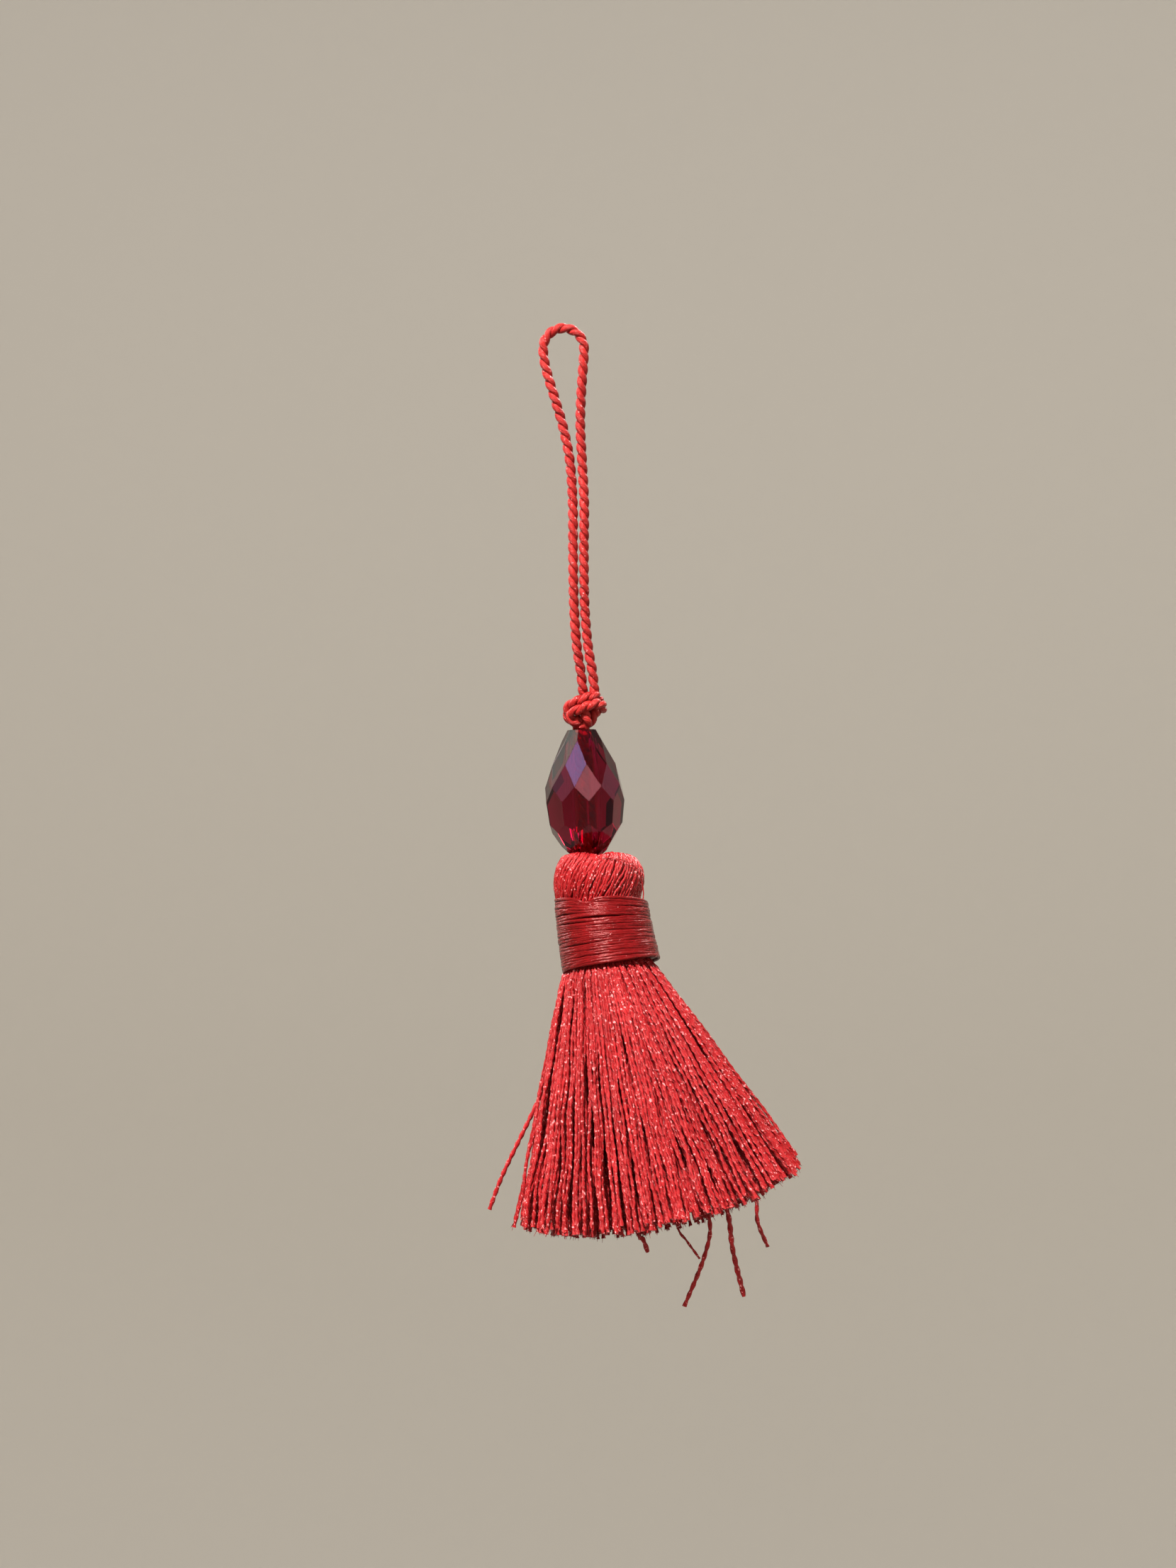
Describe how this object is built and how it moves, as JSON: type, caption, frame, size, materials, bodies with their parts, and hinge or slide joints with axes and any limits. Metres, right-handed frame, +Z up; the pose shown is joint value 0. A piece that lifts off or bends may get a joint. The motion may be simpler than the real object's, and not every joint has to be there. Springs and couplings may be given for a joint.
{
  "type": "yarn tassel with glass bead and hanging cord",
  "caption": "Flared yarn tassel with a bound neck, a faceted drop bead above its rounded head and a knotted cord loop to hang it by.",
  "frame": {"origin": "hang point, the inside of the cord loop's top", "axes": "+Z up, -Y is the front and +X the side to which the skirt leans"},
  "size_m": [0.0373, 0.0284, 0.1156],
  "materials": {
    "cord": "two-ply laid cord of shiny filament yarn, red",
    "glass": "polished dark wine red cut glass",
    "yarn": "shiny two-ply filament yarn, red",
    "binding": "flat shiny thread wound closely, darker red"
  },
  "bodies": {
    "root": {"hanging_loop": "cord", "knot": "cord", "bead": "glass", "tassel_yarn": "yarn", "neck_binding": "binding"}
  },
  "joints": []
}
